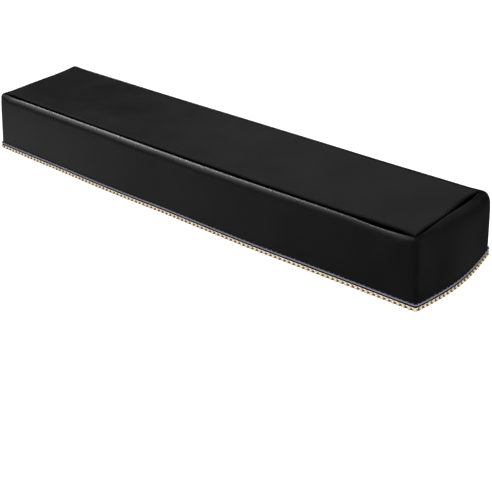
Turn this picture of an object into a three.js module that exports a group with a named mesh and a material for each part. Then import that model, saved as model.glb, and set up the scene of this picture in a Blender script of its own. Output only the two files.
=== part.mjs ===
// A piano keyboard cover: a top panel and four side panels of black stretch cloth, sewn together and
// open underneath. A trim runs round the hem: a black band, a silver braid along the band's upper
// edge, and a gold cord of plump lobes along its lower edge.
// Millimetres, +Z up, front towards -Y, right end towards +X. The origin is the centre of the top
// panel's underside, which lies on what it covers.

import * as THREE from 'three';

// Driving dimensions
const LENGTH = 1350; // end to end, at the top edge
const DEPTH = 272; // front to back, at the top edge
const DROP = 159.5; // from the top face down to the bottom of the gold cord, at the corners
const CLOTH = 2; // thickness of the cloth
const GAP = 0.3; // space between neighbouring pieces

// Top edge: the side panels roll over it, and the seam lies in the groove inside the roll
const ROLL_RADIUS = 7;
const ROLL_RISE = 1.2; // height of the roll above the seam
const MARGIN = 18; // width of the top panel's edge that slopes down to the seam
const CORNER_DIP = 1.6; // depth of the seam below the top face, at the corners
const DIP_REACH = 45; // length over which the seam deepens, away from a corner

// Upright corners, as radii in plan
const CORNER_RADIUS = 12; // at the top edge
const HEM_CORNER_RADIUS = 5; // at the hem
const CORNER_ARC = Math.PI / 4; // each panel takes half of the corner's quarter turn

// Trim round the hem
const CORD_RADIUS = 3.6; // to the outside of the gold cord's lobes
const CORD_WAIST = 2.1; // where it is drawn in between its lobes
const CORD_OUT = 2; // how far its middle lies outside the side panels' outer face
const LOBE_PITCH = 13.4; // from one lobe to the next
const BAND_HEIGHT = 9.5;
const BAND_THICKNESS = 1;
const BRAID_HEIGHT = 3.8;
const BRAID_THICKNESS = 1.6;

// One row for each side, in order round the cover, against the clock as seen from above.
// along: length at the top edge. reach: distance of the top edge from the middle.
// columns, rows: how many flat pieces make up the length and the height.
// flare: how far the hem stands out past the top edge, at the corners.
// bow: how much further the hem stands out half way along.
// sag, droop: how far the top edge and the hem hang down half way along.
// dip: depth of the top seam below the top face. swell, swellAt: slack cloth that stands out under the
// top edge, and where it is fullest, as a share of the side's length.
// cornerSwell: the same slack at the upright seam where the side starts.
const SIDES = [
  {
    name: 'front_panel', along: LENGTH, reach: DEPTH / 2, columns: 28, rows: 4,
    flare: 13, bow: 1.5, sag: 5, droop: 5.5, dip: 4.2, swell: 1.5, swellAt: 0.4, cornerSwell: 2,
  },
  {
    name: 'right_end_panel', along: DEPTH, reach: LENGTH / 2, columns: 8, rows: 5,
    flare: 12, bow: 15, sag: 0, droop: 4.6, dip: 3.6, swell: 7, swellAt: 0.65, cornerSwell: 0,
  },
  {
    name: 'back_panel', along: LENGTH, reach: DEPTH / 2, columns: 24, rows: 3,
    flare: 10.5, bow: 4, sag: 1, droop: 3, dip: 2, swell: 3, swellAt: 0.5, cornerSwell: 11.5,
  },
  {
    name: 'left_end_panel', along: DEPTH, reach: LENGTH / 2, columns: 8, rows: 4,
    flare: 10.5, bow: 10, sag: 0, droop: 3, dip: 3, swell: 5, swellAt: 0.5, cornerSwell: 4,
  },
];

// Places where the top seam is drawn deeper or eased: share of the side's length, reach and extra depth
const SEAM_PULLS = {
  front_panel: [
    { at: 0.035, reach: 40, extra: 1.6 },
    { at: 0.3, reach: 120, extra: -0.8 },
    { at: 0.62, reach: 150, extra: 0.6 },
    { at: 0.93, reach: 60, extra: 3.2 },
  ],
  right_end_panel: [
    { at: 0.42, reach: 35, extra: -1.2 },
    { at: 0.78, reach: 40, extra: 2.6 },
  ],
  back_panel: [
    { at: 0.2, reach: 120, extra: 0.8 },
    { at: 0.7, reach: 150, extra: 0.6 },
  ],
  left_end_panel: [
    { at: 0.3, reach: 40, extra: 1 },
  ],
};

// Soft folds in the side panels: share of the side's length, share of the drop, half width, half height,
// and how far the fold stands out
const SIDE_FOLDS = {
  front_panel: [
    { at: 0.09, down: 0.35, wide: 60, tall: 60, stands: 2 },
    { at: 0.3, down: 0.9, wide: 110, tall: 60, stands: 2 },
    { at: 0.47, down: 0.7, wide: 70, tall: 70, stands: -2 },
    { at: 0.68, down: 0.9, wide: 120, tall: 60, stands: 2.5 },
    { at: 0.92, down: 0.5, wide: 55, tall: 70, stands: -2 },
  ],
  right_end_panel: [
    { at: 0.22, down: 0.6, wide: 30, tall: 50, stands: -2 },
    { at: 0.84, down: 0.4, wide: 22, tall: 45, stands: 2.5 },
  ],
  back_panel: [
    { at: 0.15, down: 0.6, wide: 90, tall: 60, stands: 3 },
    { at: 0.42, down: 0.8, wide: 80, tall: 60, stands: -2.5 },
    { at: 0.75, down: 0.7, wide: 110, tall: 70, stands: 3 },
  ],
  left_end_panel: [
    { at: 0.3, down: 0.6, wide: 35, tall: 50, stands: 2.5 },
    { at: 0.7, down: 0.7, wide: 30, tall: 50, stands: -2 },
  ],
};

// Soft swells and hollows of the top panel: place of the middle, half sizes, and height
const TOP_SWELLS = [
  { x: -520, y: 20, wide: 120, deep: 70, rise: -1.6 },
  { x: -300, y: -60, wide: 110, deep: 50, rise: 1.4 },
  { x: 310, y: -50, wide: 140, deep: 60, rise: -1.5 },
  { x: 560, y: 40, wide: 90, deep: 60, rise: 1.8 },
];
const FLAT_HALF_LENGTH = 140; // the middle of the top stays flat, where it lies on what it covers
const FLAT_HALF_DEPTH = 25;
const FLAT_FADE = 60; // distance over which the swells come in round that flat
const SAG_DEPTH = 110; // how far in from the front and back edges the top panel sags with them
const TAUT_EDGE = 54; // width of the top panel's edge in which the swells die away

// How curved forms run
const MARGIN_CURVE = 1.6; // power by which the top's margin steepens towards the seam
const BOW_CURVE = 1.5; // power by which the bow grows towards the hem
const SLACK_RISE = 0.08; // share of the drop in which the slack cloth stands out

// Where the pieces bend and end
const ROLL_START = -Math.acos(1 - ROLL_RISE / ROLL_RADIUS); // angle of the roll at the seam
const ROLL_END = Math.PI / 2;
const ROLL_STEPS = [0, 0.28, 0.56, 0.78, 1]; // shares of the roll at which it bends
const CORNER_STEPS = 2; // columns in each panel's half of a corner
const CORNER_CROWDING = 0.4; // how much the columns crowd towards the corners
const ROW_CROWDING = 1.4; // how much the rows crowd towards the top edge
const TOP_COLUMNS = 26; // between the top panel's two end margins
const TOP_ROWS = 5; // between its front and back margins
const CLOTH_DROP = DROP - 2 * CORD_RADIUS - GAP; // from the top face down to the cloth's own hem
const HEM_PLACE = 2; // the hem, on the scale of panelPoint
const BAND_PLACE = HEM_PLACE - BAND_HEIGHT / CLOTH_DROP; // the band's upper edge
const BRAID_PLACE = BAND_PLACE + BRAID_HEIGHT / CLOTH_DROP; // the braid's lower edge
const CORD_SIDES = 6;
const LOBE_STEPS = 3; // sections of the cord to each lobe
const SLOPE_STEP = 1e-4; // step over which a sheet's slope is measured

// Room that a piece leaves at the top seam and at the upright seams, so that pieces don't touch
const SEAM_LINE = { inset: 0, ends: 0 };
const TOP_ROOM = { inset: GAP / 2, ends: 0 };
const SIDE_ROOM = { inset: -GAP / 2, ends: GAP / Math.SQRT2 };

const mix = THREE.MathUtils.lerp;
const smooth = (share) => THREE.MathUtils.smoothstep(share, 0, 1);
const bump = (offset, reach) => Math.exp(-((offset / reach) ** 2));
const arch = (share) => Math.sin(Math.PI * share);

// Rises from a corner to 1 at peakAt, and falls to 0 at the other corner
function lopsidedArch(share, peakAt) {
  const rise = share < peakAt ? share / peakAt : (1 - share) / (1 - peakAt);
  return smooth(THREE.MathUtils.clamp(rise, 0, 1));
}

// Slack cloth stands out quickly under the top edge and dies away towards the hem
function slack(down) {
  return (1 - Math.exp(-down / SLACK_RISE)) * Math.max(1 - down, 0);
}

// Depth of the top seam below the top face, at a share of the side's length
function seamDip(index, share) {
  const side = SIDES[index];
  const fromCorner = Math.min(share, 1 - share) * side.along;
  let dip = mix(CORNER_DIP, side.dip, smooth(fromCorner / DIP_REACH));
  for (const pull of SEAM_PULLS[side.name]) {
    dip += pull.extra * bump((share - pull.at) * side.along, pull.reach) * smooth(fromCorner / DIP_REACH);
  }
  return dip;
}

// How far a side's cloth hangs down half way along, from sag at the top edge to droop at the hem
function hang(index, share, down) {
  return mix(SIDES[index].sag, SIDES[index].droop, down) * arch(share);
}

// A point of the cover's rounded outline on one side, as seen from above.
// share runs from the upright seam at the side's start to the one at its end, down runs from 0 at the top
// edge to 1 at the hem, out moves the point outwards, and ends draws both ends of the side in.
function outlinePoint(index, share, down, out, ends) {
  const side = SIDES[index];
  const next = SIDES[(index + 1) % SIDES.length];
  const previous = SIDES[(index + SIDES.length - 1) % SIDES.length];
  const radius = mix(CORNER_RADIUS, HEM_CORNER_RADIUS, down);
  const startSwell = side.cornerSwell * slack(down);
  const endSwell = next.cornerSwell * slack(down);
  const start = -side.along / 2 - previous.flare * down - startSwell + ends;
  const end = side.along / 2 + next.flare * down + endSwell - ends;
  const startReach = side.reach + side.flare * down + startSwell;
  const endReach = side.reach + side.flare * down + endSwell;
  const arc = radius * CORNER_ARC;
  const straight = end - start - 2 * radius;
  const travel = share * (straight + 2 * arc);
  let angle = 0;
  let alongCentre = start + radius + travel - arc;
  if (travel < arc) {
    angle = travel / radius - CORNER_ARC;
    alongCentre = start + radius;
  } else if (travel > arc + straight) {
    angle = (travel - arc - straight) / radius;
    alongCentre = end - radius;
  }
  const reachCentre = mix(startReach, endReach, (alongCentre - start) / (end - start)) - radius;
  const x = alongCentre + (radius + out) * Math.sin(angle);
  const y = -reachCentre - (radius + out) * Math.cos(angle);
  const turned = new THREE.Vector2(x, y);
  return turned.rotateAround(new THREE.Vector2(), index * Math.PI / 2);
}

// Outward stand of a side's cloth from its plain outline
function stand(index, share, down) {
  const side = SIDES[index];
  let out = side.swell * lopsidedArch(share, side.swellAt) * slack(down);
  out += side.bow * arch(share) * Math.pow(Math.max(down, 0), BOW_CURVE);
  for (const fold of SIDE_FOLDS[side.name]) {
    const across = bump((share - fold.at) * side.along, fold.wide);
    out += fold.stands * across * bump((down - fold.down) * CLOTH_DROP, fold.tall) * arch(share);
  }
  return out;
}

// A point of a side's outer face at a given drop below the roll's crest, inset where the cloth rolls over
function sidePoint(index, share, drop, inset, ends) {
  const crest = seamDip(index, share) - ROLL_RISE;
  const down = drop / (CLOTH_DROP - crest);
  const flat = outlinePoint(index, share, down, stand(index, share, down) - inset, ends);
  return new THREE.Vector3(flat.x, flat.y, CLOTH - crest - drop - hang(index, share, Math.min(down, 1)));
}

// A point of a side's outer face, at a place that runs from 0 at the top seam over the roll to 1,
// and from there down the wall to 2 at the cloth's hem
function panelPoint(index, share, place, room) {
  if (place < 1) {
    const angle = mix(ROLL_START, ROLL_END, place);
    const inset = ROLL_RADIUS * (1 - Math.sin(angle));
    return sidePoint(index, share, ROLL_RADIUS * (1 - Math.cos(angle)), inset + room.inset, room.ends);
  }
  const wall = CLOTH_DROP - seamDip(index, share) + ROLL_RISE;
  return sidePoint(index, share, mix(ROLL_RADIUS, wall, place - 1), room.inset, room.ends);
}

// Shares of a side's length at which its cloth bends: close together in the corners, even between them
function columnShares(index) {
  const side = SIDES[index];
  const corner = CORNER_RADIUS * CORNER_ARC / side.along;
  const shares = [];
  for (let step = 0; step < CORNER_STEPS; step += 1) {
    shares.push(corner * step / CORNER_STEPS);
  }
  for (let step = 0; step <= side.columns; step += 1) {
    const even = step / side.columns;
    const crowded = even - CORNER_CROWDING * Math.sin(2 * Math.PI * even) / (2 * Math.PI);
    shares.push(mix(corner, 1 - corner, crowded));
  }
  for (let step = 1; step <= CORNER_STEPS; step += 1) {
    shares.push(1 - corner + corner * step / CORNER_STEPS);
  }
  return shares;
}

// A closed sheet whose outer face is pointAt(u, v). Seen from outside, u runs to the right and v runs
// down. The inner face lies a thickness below the outer one, square to it, and rims close the edges.
function sheetGeometry(pointAt, us, vs, thickness) {
  const outer = [];
  const inner = [];
  for (const v of vs) {
    for (const u of us) {
      const point = pointAt(u, v);
      const across = pointAt(u + SLOPE_STEP, v).sub(pointAt(u - SLOPE_STEP, v));
      const down = pointAt(u, v + SLOPE_STEP).sub(pointAt(u, v - SLOPE_STEP));
      const normal = down.cross(across).normalize();
      outer.push(point.x, point.y, point.z);
      point.addScaledVector(normal, -thickness);
      inner.push(point.x, point.y, point.z);
    }
  }
  const columns = us.length;
  const rows = vs.length;
  const innerStart = rows * columns;
  const indices = [];
  const quad = (a, b, c, d) => indices.push(a, b, c, a, c, d);
  const rim = (a, b) => quad(a, b, innerStart + b, innerStart + a);
  for (let r = 0; r < rows - 1; r += 1) {
    for (let c = 0; c < columns - 1; c += 1) {
      const a = r * columns + c;
      const b = a + columns;
      quad(a, b, b + 1, a + 1);
      quad(innerStart + a, innerStart + a + 1, innerStart + b + 1, innerStart + b);
    }
  }
  const last = innerStart - columns;
  for (let c = 0; c < columns - 1; c += 1) {
    rim(c, c + 1);
    rim(last + c + 1, last + c);
  }
  for (let r = 0; r < rows - 1; r += 1) {
    const a = r * columns;
    rim(a + columns, a);
    rim(a + columns - 1, a + 2 * columns - 1);
  }
  return closedGeometry([...outer, ...inner], indices);
}

// A closed ring from sections that follow one another round a loop. Each section is a closed outline,
// and all have the same number of points.
function ringGeometry(sections) {
  const sides = sections[0].length;
  const positions = sections.flat().flatMap((point) => [point.x, point.y, point.z]);
  const indices = [];
  for (let s = 0; s < sections.length; s += 1) {
    const here = s * sides;
    const there = ((s + 1) % sections.length) * sides;
    for (let k = 0; k < sides; k += 1) {
      const l = (k + 1) % sides;
      indices.push(here + k, there + k, here + l);
      indices.push(there + k, there + l, here + l);
    }
  }
  return closedGeometry(positions, indices);
}

function closedGeometry(positions, indices) {
  const geometry = new THREE.BufferGeometry();
  geometry.setAttribute('position', new THREE.Float32BufferAttribute(positions, 3));
  geometry.setIndex(indices);
  geometry.computeVertexNormals();
  return geometry;
}

// A side panel, from the seam over the roll and down the wall to the hem
function sidePanel(index) {
  const { rows } = SIDES[index];
  const places = [...ROLL_STEPS];
  for (let row = 1; row <= rows; row += 1) {
    places.push(mix(1, BAND_PLACE, Math.pow(row / rows, ROW_CROWDING)));
  }
  places.push(HEM_PLACE);
  const pointAt = (share, place) => panelPoint(index, share, place, SIDE_ROOM);
  return sheetGeometry(pointAt, columnShares(index), places, CLOTH);
}

// The line along a side in which the top panel ends
function seamPoint(index, share) {
  return panelPoint(index, share, 0, TOP_ROOM);
}

// Height of the top face: it slopes down to each seam and sags a little towards the long edges
function topHeight(x, y, reaches) {
  let slope = 0;
  let sag = 0;
  for (const { index, share, distance } of reaches) {
    const inMargin = Math.max(1 - distance / MARGIN, 0);
    slope = Math.max(slope, seamDip(index, share) * Math.pow(inMargin, MARGIN_CURVE));
    sag = Math.max(sag, hang(index, share, 0) * smooth(1 - distance / SAG_DEPTH));
  }
  const beyondX = Math.max(Math.abs(x) - FLAT_HALF_LENGTH, 0) / FLAT_FADE;
  const beyondY = Math.max(Math.abs(y) - FLAT_HALF_DEPTH, 0) / FLAT_FADE;
  const fromEdge = Math.min(...reaches.map((reach) => reach.distance));
  const loose = smooth(Math.hypot(beyondX, beyondY)) * smooth(fromEdge / TAUT_EDGE);
  let swell = 0;
  for (const row of TOP_SWELLS) {
    swell += row.rise * bump(x - row.x, row.wide) * bump(y - row.y, row.deep);
  }
  return CLOTH - slope - sag + swell * loose;
}

// Places from 0 to 1 across a length: close together in the two margins, even between them
function marginShares(length, between) {
  const edge = [0, MARGIN / 3, 2 * MARGIN / 3, MARGIN].map((distance) => distance / length);
  const shares = [...edge];
  for (let step = 1; step < between; step += 1) {
    shares.push(mix(edge[3], 1 - edge[3], step / between));
  }
  return [...shares, ...edge.map((share) => 1 - share).reverse()];
}

// A point of the top face, stretched between the four seam lines: a runs to the right, b to the front
function topPoint(a, b) {
  const [front, right, back, left] = [0, 1, 2, 3];
  const point = new THREE.Vector3();
  point.addScaledVector(seamPoint(front, a), b);
  point.addScaledVector(seamPoint(back, 1 - a), 1 - b);
  point.addScaledVector(seamPoint(left, b), 1 - a);
  point.addScaledVector(seamPoint(right, 1 - b), a);
  point.addScaledVector(seamPoint(front, 0), -(1 - a) * b);
  point.addScaledVector(seamPoint(front, 1), -a * b);
  point.addScaledVector(seamPoint(back, 0), -a * (1 - b));
  point.addScaledVector(seamPoint(back, 1), -(1 - a) * (1 - b));
  point.z = topHeight(point.x, point.y, [
    { index: front, share: a, distance: (1 - b) * DEPTH },
    { index: right, share: 1 - b, distance: (1 - a) * LENGTH },
    { index: back, share: 1 - a, distance: b * DEPTH },
    { index: left, share: b, distance: a * LENGTH },
  ]);
  return point;
}

function topPanel() {
  return sheetGeometry(topPoint, marginShares(LENGTH, TOP_COLUMNS), marginShares(DEPTH, TOP_ROWS), CLOTH);
}

// The line round the cover at a place on the side panels, as closed points with the way out of each
function hemLine(place) {
  const points = SIDES.flatMap((side, index) => (
    columnShares(index).slice(1).map((share) => panelPoint(index, share, place, SEAM_LINE))
  ));
  return points.map((point, here) => {
    const before = points[(here + points.length - 1) % points.length];
    const after = points[(here + 1) % points.length];
    const out = new THREE.Vector3(after.y - before.y, before.x - after.x, 0).normalize();
    return { point, out };
  });
}

// A flat length sewn round outside the hem, between two places on the side panels
function flatTrim(upperPlace, lowerPlace, inside, thickness) {
  const upper = hemLine(upperPlace);
  const lower = hemLine(lowerPlace);
  const away = ({ point, out }, distance) => point.clone().addScaledVector(out, distance);
  const sections = upper.map((above, here) => [
    away(above, inside),
    away(lower[here], inside),
    away(lower[here], inside + thickness),
    away(above, inside + thickness),
  ]);
  return ringGeometry(sections);
}

// The same line at even steps, a whole number of lobes long
function evenLine(line, pitch, stepsPerPitch) {
  const lengths = [0];
  line.forEach(({ point }, place) => {
    lengths.push(lengths[place] + point.distanceTo(line[(place + 1) % line.length].point));
  });
  const total = lengths[line.length];
  const count = Math.round(total / pitch) * stepsPerPitch;
  const even = [];
  let place = 0;
  for (let step = 0; step < count; step += 1) {
    const travel = total * step / count;
    while (lengths[place + 1] < travel) {
      place += 1;
    }
    const here = line[place];
    const there = line[(place + 1) % line.length];
    const share = (travel - lengths[place]) / (lengths[place + 1] - lengths[place]);
    even.push({
      point: here.point.clone().lerp(there.point, share),
      out: here.out.clone().lerp(there.out, share).normalize(),
    });
  }
  return even;
}

// The gold cord: plump lobes in a row, drawn in between one and the next
function goldCord() {
  const line = evenLine(hemLine(HEM_PLACE), LOBE_PITCH, LOBE_STEPS);
  const sections = line.map(({ point, out }, step) => {
    const radius = step % LOBE_STEPS === 0 ? CORD_WAIST : CORD_RADIUS;
    const section = [];
    for (let k = 0; k < CORD_SIDES; k += 1) {
      const angle = 2 * Math.PI * k / CORD_SIDES;
      const corner = point.clone().addScaledVector(out, radius * Math.sin(angle) + CORD_OUT);
      corner.z += radius * Math.cos(angle) - CORD_RADIUS - GAP;
      section.push(corner);
    }
    return section.reverse();
  });
  return ringGeometry(sections);
}

function addPiece(group, name, geometry, material) {
  const mesh = new THREE.Mesh(geometry, material);
  mesh.name = name;
  group.add(mesh);
}

const blackCloth = { color: 0x141416, roughness: 0.8, metalness: 0 };
const braidInside = GAP + BAND_THICKNESS + GAP;

const cover = new THREE.Group();
addPiece(cover, 'top_panel', topPanel(), new THREE.MeshStandardMaterial(blackCloth));
SIDES.forEach((side, index) => {
  addPiece(cover, side.name, sidePanel(index), new THREE.MeshStandardMaterial(blackCloth));
});
addPiece(
  cover, 'trim_band', flatTrim(BAND_PLACE, HEM_PLACE, GAP, BAND_THICKNESS),
  new THREE.MeshStandardMaterial({ color: 0x0c0c0d, roughness: 0.85, metalness: 0 }),
);
addPiece(
  cover, 'silver_braid', flatTrim(BAND_PLACE, BRAID_PLACE, braidInside, BRAID_THICKNESS),
  new THREE.MeshStandardMaterial({ color: 0xa9a9bd, roughness: 0.45, metalness: 0.4 }),
);
addPiece(
  cover, 'gold_cord', goldCord(),
  new THREE.MeshStandardMaterial({ color: 0xd8b982, roughness: 0.4, metalness: 0.6 }),
);

export default cover;
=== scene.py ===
"""Piano keyboard cover: black stretch cloth, open underneath, with a trim round the hem.

Metres, +Z up, front towards -Y, right end towards +X, as in the frame. Every cloth piece has the form of
the solid that it stands for, with the seams, the turned hem and the fine folds added.
"""

import math
from typing import NamedTuple

import bpy
import numpy as np
from bpy.props import FloatProperty, FloatVectorProperty, IntProperty, PointerProperty
from mathutils import Matrix, Vector


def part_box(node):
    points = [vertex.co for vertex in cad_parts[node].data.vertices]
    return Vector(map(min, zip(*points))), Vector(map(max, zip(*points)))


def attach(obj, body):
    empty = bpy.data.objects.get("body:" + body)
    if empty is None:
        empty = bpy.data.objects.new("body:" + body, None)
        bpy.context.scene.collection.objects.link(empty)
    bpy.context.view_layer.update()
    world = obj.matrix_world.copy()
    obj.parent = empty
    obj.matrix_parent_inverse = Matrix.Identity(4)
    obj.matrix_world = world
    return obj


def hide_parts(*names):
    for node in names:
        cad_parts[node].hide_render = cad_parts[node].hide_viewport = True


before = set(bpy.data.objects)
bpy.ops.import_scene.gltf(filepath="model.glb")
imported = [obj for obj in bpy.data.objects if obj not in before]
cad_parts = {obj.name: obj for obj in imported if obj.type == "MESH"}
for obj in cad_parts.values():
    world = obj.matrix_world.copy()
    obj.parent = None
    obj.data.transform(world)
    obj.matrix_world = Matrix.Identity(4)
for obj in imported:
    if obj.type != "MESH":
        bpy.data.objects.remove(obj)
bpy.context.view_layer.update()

bl_info = {
    "name": "Piano Keyboard Cover",
    "version": (1, 0, 0),
    "blender": (4, 5, 0),
    "location": "View3D > Sidebar > Cover",
    "description": "Builds a fitted piano keyboard cover with a braid and cord trim",
    "category": "Object",
}

# Driving dimensions, the same as the solids'
LENGTH = 1.350
DEPTH = 0.272
DROP = 0.1595
SOLID_CLOTH = 0.002
ROLL_RADIUS = 0.007
ROLL_RISE = 0.0012
MARGIN = 0.018
CORNER_DIP = 0.0016
DIP_REACH = 0.045
CORNER_RADIUS = 0.012
HEM_CORNER_RADIUS = 0.005
CORNER_ARC = math.pi / 4
SHOULDER_START = math.pi / 4
CORD_RADIUS = 0.0036
CORD_WAIST = 0.0021
CORD_OUT = 0.002
LOBE_PITCH = 0.0134
BAND_HEIGHT = 0.0095
BAND_THICKNESS = 0.001
BRAID_HEIGHT = 0.0038
GAP = 0.0003
FLAT_HALF_LENGTH = 0.140
FLAT_HALF_DEPTH = 0.025
FLAT_FADE = 0.060
SAG_DEPTH = 0.110
TAUT_EDGE = 0.054
MARGIN_CURVE = 1.6
BOW_CURVE = 1.5
SLACK_RISE = 0.08

# Worked out from them
SEAM_ANGLE = -math.acos(1 - ROLL_RISE / ROLL_RADIUS)
SEAM_INSET = ROLL_RADIUS * (1 - math.sin(SEAM_ANGLE))
CLOTH_DROP = DROP - 2 * CORD_RADIUS - GAP
HEM_PLACE = 1.0
BAND_PLACE = HEM_PLACE - BAND_HEIGHT / CLOTH_DROP
BRAID_PLACE = BAND_PLACE + BRAID_HEIGHT / CLOTH_DROP

# The cloth's fine form
FINE_FADE = 0.12  # share of the drop over which the fine creases die away at the seam and the hem
FINE_AT_CORNER = 0.3  # share of them that is left at an upright seam
EDGE_AT_HEM = 0.5  # share of an upright seam's rounding that is left at the hem
RIPPLE_DOWN = 0.5  # ripples are drawn out twice as far down a side as along it

# Painted shade, which darkens and dulls the cloth towards its seams
SHADE_REACH = 0.018
DEEP_REACH = 0.027  # the shade's reach where the seam dips deepest
DEEP_DIP = 0.0045  # the deepest dip, beyond the corners' own
SHADE_SLOPE = 1.7  # above 1, the shade is full before it comes to the seam
# Painted shade on the roll near the upright seams: its strength, and its reach along the side
CORNER_PAINTED_SHADE = 0.75
CORNER_SHADE_REACH = 0.09

# How the trim is sewn on and made up
BRAID_STRANDS = 3
BRAID_CROSSINGS = 2.0  # times that a strand swings out over the others in one turn of the plait
BRAID_STEPS = 7  # sections in one turn
STRAND_SIDES = 6
CORD_FULLNESS = 0.75  # below 1, a lobe stays plump nearer to its ends
STITCH_PLACE = BRAID_PLACE + 0.4 * (HEM_PLACE - BRAID_PLACE)
STITCH_SHARE = 0.7  # share of its pitch that a stitch fills
STITCH_WANDER = 0.06  # most that a stitch leans either way, in radians
KNOT_WANDER = 0.2
KNOT_RISE = 0.2 * BRAID_HEIGHT
WANDER_SEED = 7
BEAD_SIDES = 6
BEAD_RINGS = 4
BAND_EDGE = 0.35 * BAND_THICKNESS
BAND_BEVEL = 0.05  # share of the band's height that its rounded edges take

# The raw edges inside the seams
RAW_EDGE_STEPS = 24
RAW_EDGE_END = 0.004  # they stop this far above the hem
RAW_EDGE_BELOW = 0.3  # of the cloth's thickness, below the top seam's edges
RAW_EDGE_IN = 0.5  # of the upright seam's rounding, behind the cloth
RAW_EDGE_WAVE = 0.6  # of the cloth's thickness
RAW_EDGE_WAVE_LENGTHS = (0.031, 0.083)
# Their corners, as shares of the cloth's thickness and of the allowance
RAW_EDGE_SECTION = (
    (-1, 0), (-1.3, -0.5), (-1.6, -1), (-0.4, -1), (0, -0.3), (0.4, -1), (1.6, -0.97), (1.3, -0.5), (1, 0),
)

TAU = 2 * math.pi
HALF_TURN = math.pi / 2
SHARP_FROM = math.radians(50)

# Ways and phases of the waves that make up the cloth's soft ripple
RIPPLE_WAVES = (
    (1.0, 0.31, 0.4), (-0.62, 0.83, 1.7), (0.47, 1.21, 3.1), (1.53, -0.55, 5.2), (0.21, -1.87, 2.3),
)


class Fold(NamedTuple):
    """A soft fold in a side panel: at and down are shares of its length and drop."""

    at: float
    down: float
    wide: float
    tall: float
    stands: float


class Pull(NamedTuple):
    """A place where the top seam is drawn deeper or eased."""

    at: float
    reach: float
    extra: float


class Swell(NamedTuple):
    """A soft swell or hollow of the top panel."""

    x: float
    y: float
    wide: float
    deep: float
    rise: float


class Side(NamedTuple):
    """One side of the cover, as in the solids' own table, with the creases that are added here."""

    node: str
    along: float
    reach: float
    flare: float
    bow: float
    sag: float
    droop: float
    dip: float
    swell: float
    swell_at: float
    corner_swell: float
    edge_radius: float
    pulls: tuple
    folds: tuple
    creases: tuple


SIDES = (
    Side(
        node="front_panel", along=LENGTH, reach=DEPTH / 2, flare=0.013, bow=0.0015, sag=0.005, droop=0.0055,
        dip=0.0042, swell=0.0015, swell_at=0.4, corner_swell=0.002, edge_radius=0.003,
        pulls=(Pull(0.035, 0.040, 0.0016), Pull(0.3, 0.120, -0.0008), Pull(0.62, 0.150, 0.0006),
               Pull(0.93, 0.060, 0.0032)),
        folds=(Fold(0.09, 0.35, 0.060, 0.060, 0.002), Fold(0.3, 0.9, 0.110, 0.060, 0.002),
               Fold(0.47, 0.7, 0.070, 0.070, -0.002), Fold(0.68, 0.9, 0.120, 0.060, 0.0025),
               Fold(0.92, 0.5, 0.055, 0.070, -0.002)),
        creases=(Fold(0.885, 0.12, 0.014, 0.030, 0.0006), Fold(0.962, 0.12, 0.012, 0.035, 0.0005),
                 Fold(0.925, 0.15, 0.018, 0.040, -0.0005), Fold(0.46, 0.16, 0.040, 0.030, -0.0007),
                 Fold(0.55, 0.12, 0.030, 0.020, 0.0008)),
    ),
    Side(
        node="right_end_panel", along=DEPTH, reach=LENGTH / 2, flare=0.012, bow=0.015, sag=0, droop=0.0046,
        dip=0.0036, swell=0.007, swell_at=0.65, corner_swell=0, edge_radius=0.006,
        pulls=(Pull(0.42, 0.035, -0.0012), Pull(0.78, 0.040, 0.0026)),
        folds=(Fold(0.22, 0.6, 0.030, 0.050, -0.002), Fold(0.84, 0.4, 0.022, 0.045, 0.0025)),
        creases=(Fold(0.86, 0.1, 0.007, 0.030, 0.001), Fold(0.76, 0.12, 0.008, 0.030, -0.0008),
                 Fold(0.06, 0.28, 0.005, 0.030, 0.0009)),
    ),
    Side(
        node="back_panel", along=LENGTH, reach=DEPTH / 2, flare=0.0105, bow=0.004, sag=0.001, droop=0.003,
        dip=0.002, swell=0.003, swell_at=0.5, corner_swell=0.0115, edge_radius=0.004,
        pulls=(Pull(0.2, 0.120, 0.0008), Pull(0.7, 0.150, 0.0006)),
        folds=(Fold(0.15, 0.6, 0.090, 0.060, 0.003), Fold(0.42, 0.8, 0.080, 0.060, -0.0025),
               Fold(0.75, 0.7, 0.110, 0.070, 0.003)),
        creases=(Fold(0.08, 0.15, 0.014, 0.050, -0.0012), Fold(0.31, 0.12, 0.018, 0.030, 0.001),
                 Fold(0.62, 0.14, 0.020, 0.040, -0.001), Fold(0.94, 0.2, 0.012, 0.045, 0.0012)),
    ),
    Side(
        node="left_end_panel", along=DEPTH, reach=LENGTH / 2, flare=0.0105, bow=0.010, sag=0, droop=0.003,
        dip=0.003, swell=0.005, swell_at=0.5, corner_swell=0.004, edge_radius=0.005,
        pulls=(Pull(0.3, 0.040, 0.001),),
        folds=(Fold(0.3, 0.6, 0.035, 0.050, 0.0025), Fold(0.7, 0.7, 0.030, 0.050, -0.002)),
        creases=(Fold(0.1, 0.14, 0.008, 0.035, 0.0009), Fold(0.82, 0.2, 0.008, 0.040, -0.0009)),
    ),
)
FRONT, RIGHT, BACK, LEFT = range(4)

TOP_SWELLS = (
    Swell(-0.520, 0.020, 0.120, 0.070, -0.0016),
    Swell(-0.300, -0.060, 0.110, 0.050, 0.0014),
    Swell(0.310, -0.050, 0.140, 0.060, -0.0015),
    Swell(0.560, 0.040, 0.090, 0.060, 0.0018),
)

# How finely the cloth is divided
GRID_PITCH = 0.004
CORNER_COLUMNS = 5
EDGE_ROWS = 4
EDGE_TURN_ROWS = 7
SHOULDER_ROWS = 9
WALL_ROWS = 36
HEM_ROWS = 5
TURN_ROWS = 4
MARGIN_ROWS = 7
PLACE_TOLERANCE = 0.003  # how far a cloth piece's box may be from its solid's

FLOOR_HALF = 9.0
HORIZON_BLUR = 0.1


class Lamp(NamedTuple):
    """A soft studio light. matt and gloss say whether it gives plain light and reflections."""

    name: str
    place: tuple
    aim: tuple
    wide: float
    high: float
    power: float
    matt: bool
    gloss: bool


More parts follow.
